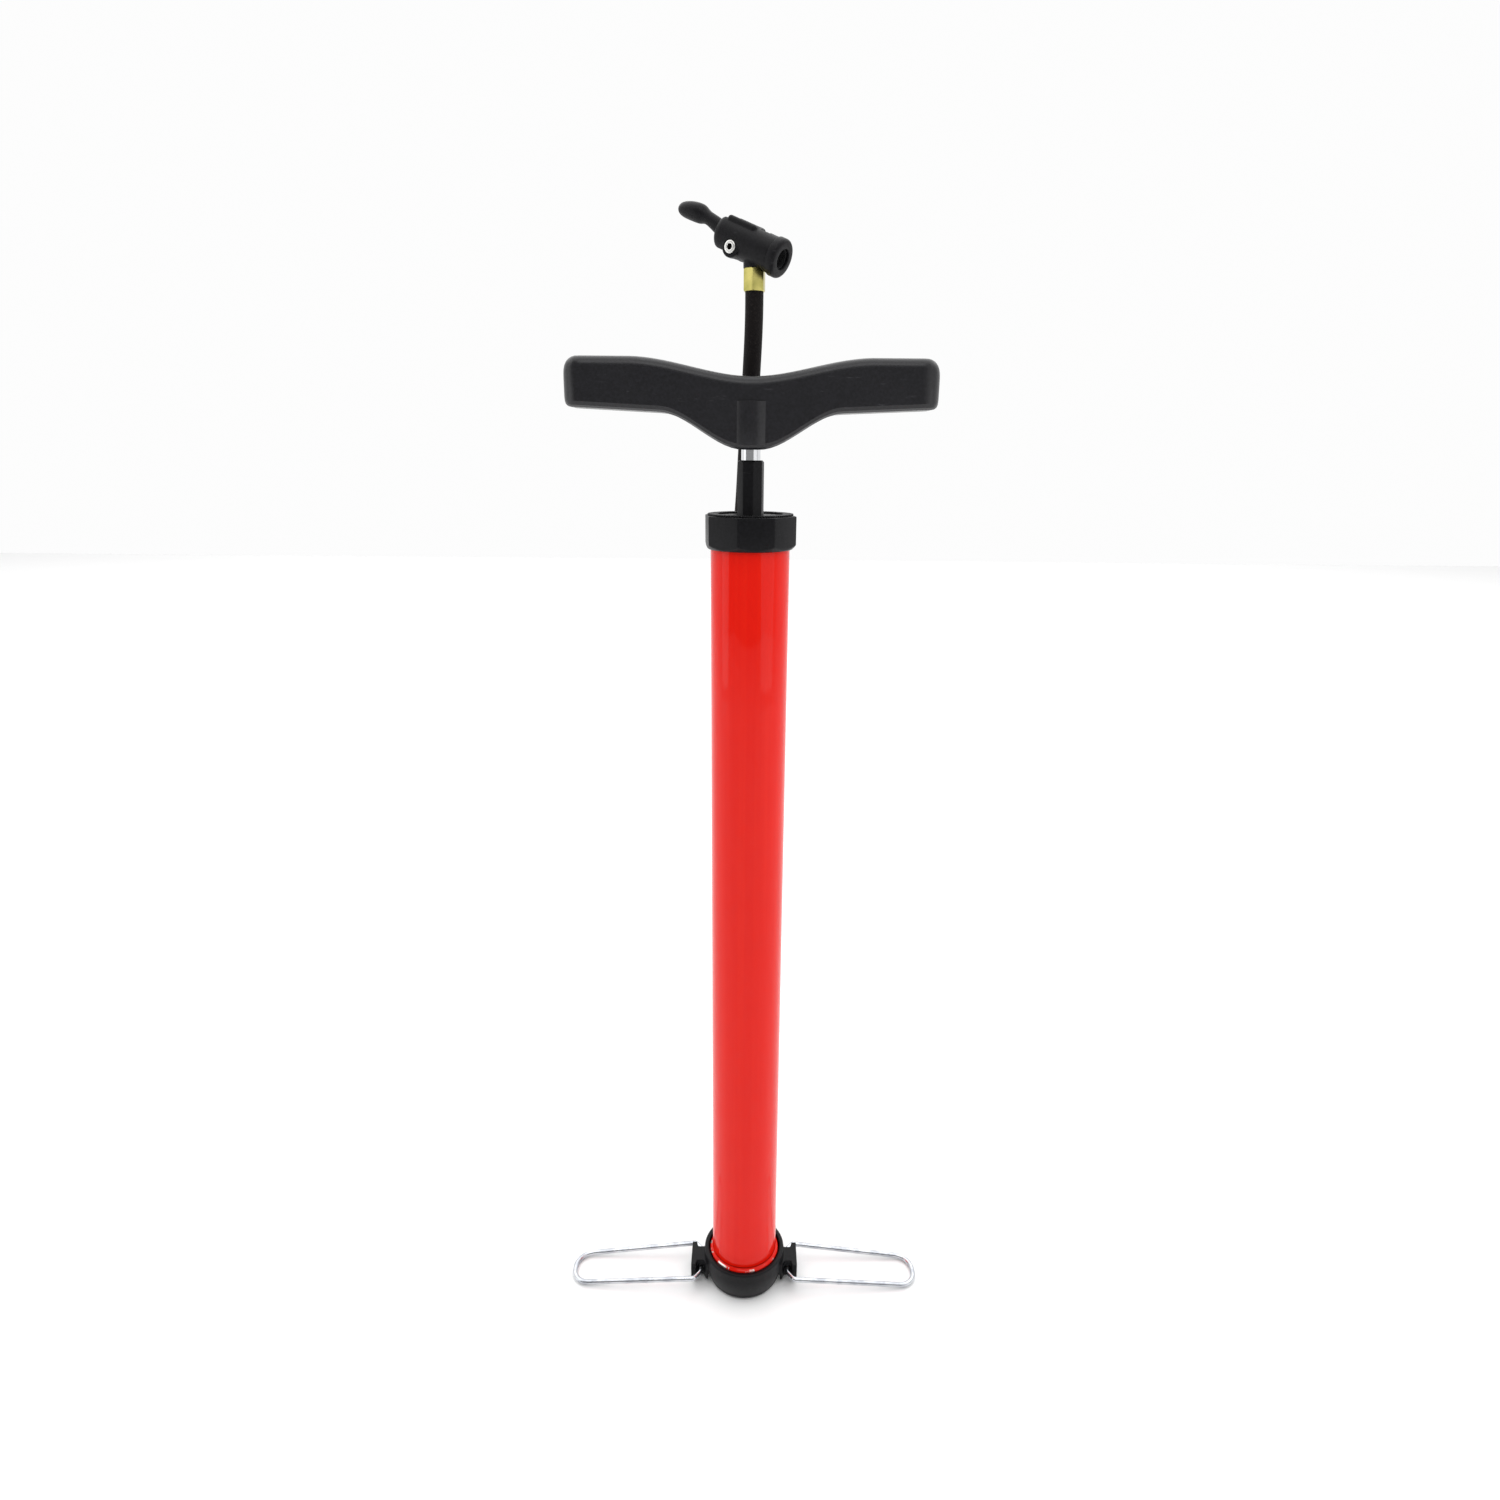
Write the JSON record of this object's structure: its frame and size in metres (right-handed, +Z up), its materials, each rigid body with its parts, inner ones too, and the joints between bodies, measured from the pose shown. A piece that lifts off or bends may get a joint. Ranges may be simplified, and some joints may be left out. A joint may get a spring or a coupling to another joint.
{
  "type": "bicycle floor pump",
  "caption": "Upright hand air pump: steel barrel on a cup foot with two folding wire stirrups, winged handle on a sliding rod, and a hose with a thumb-lock valve head.",
  "frame": {"origin": "centre of the cup's underside, on the floor, on the barrel's axis", "axes": "+Z up along the barrel, -Y front, +X to the right along the handle and the stirrups"},
  "size_m": [0.2104, 0.0875, 0.5965],
  "materials": {
    "red_paint": "glossy enamel on steel",
    "black_plastic": "satin moulded plastic",
    "handle_plastic": "satin moulded plastic",
    "head_plastic": "matt moulded plastic",
    "white_plastic": "moulded plastic",
    "rubber": "matt",
    "hose_rubber": "ribbed by its textile cords",
    "seal_leather": "oiled",
    "chrome": "bright",
    "steel": "plain",
    "zinc_wire": "bright zinc plate",
    "brass": "turned"
  },
  "bodies": {
    "pump": {"barrel": "red_paint", "foot_base": "black_plastic", "barrel_gasket": "rubber", "top_cap": "black_plastic", "guide_collar": "black_plastic", "outlet_nipple": "brass", "base_ferrule": "zinc_wire", "hose": "hose_rubber", "hose_nut": "brass", "chuck_body": "head_plastic", "chuck_collar": "head_plastic", "chuck_grommet": "rubber", "lever_pin": "chrome"},
    "piston": {"piston_rod": "chrome", "rod_stud": "steel", "rod_buffer": "rubber", "piston_top_washer": "steel", "piston_cup_seal": "seal_leather", "piston_bottom_washer": "steel", "piston_nut": "steel", "handle": "handle_plastic", "handle_nut": "steel"},
    "stirrup_left": {"left_stirrup": "zinc_wire"},
    "stirrup_right": {"right_stirrup": "zinc_wire"},
    "valve_ball": {"check_ball": "steel"},
    "head_lever": {"lever": "head_plastic"},
    "head_plunger": {"chuck_plunger": "white_plastic"}
  },
  "joints": [
    {"name": "piston_slide", "type": "slide", "parent": "pump", "child": "piston", "axis": [0, 0, 1], "range_m": [0, 0.4]},
    {"name": "left_stirrup_hinge", "type": "hinge", "parent": "pump", "child": "stirrup_left", "pos_m": [-0.0265, 0, 0.0085], "axis": [0, 1, 0], "range_deg": [0, 95]},
    {"name": "right_stirrup_hinge", "type": "hinge", "parent": "pump", "child": "stirrup_right", "pos_m": [0.0265, 0, 0.0085], "axis": [0, -1, 0], "range_deg": [0, 95]},
    {"name": "check_ball_lift", "type": "slide", "parent": "pump", "child": "valve_ball", "axis": [0, 0.7071, 0.7071], "range_m": [0, 0.0015]},
    {"name": "lever_hinge", "type": "hinge", "parent": "pump", "child": "head_lever", "pos_m": [-0.00686, 0.03443, 0.57376], "axis": [0.4955, 0.8686, 0], "range_deg": [0, 70]},
    {"name": "plunger_slide", "type": "slide", "parent": "pump", "child": "head_plunger", "axis": [0.7951, -0.4535, -0.4027], "range_m": [0, 0.002]}
  ],
  "couplings": [
    {"joint": "plunger_slide", "follows": "lever_hinge", "m_per_rad": 0.0016}
  ]
}
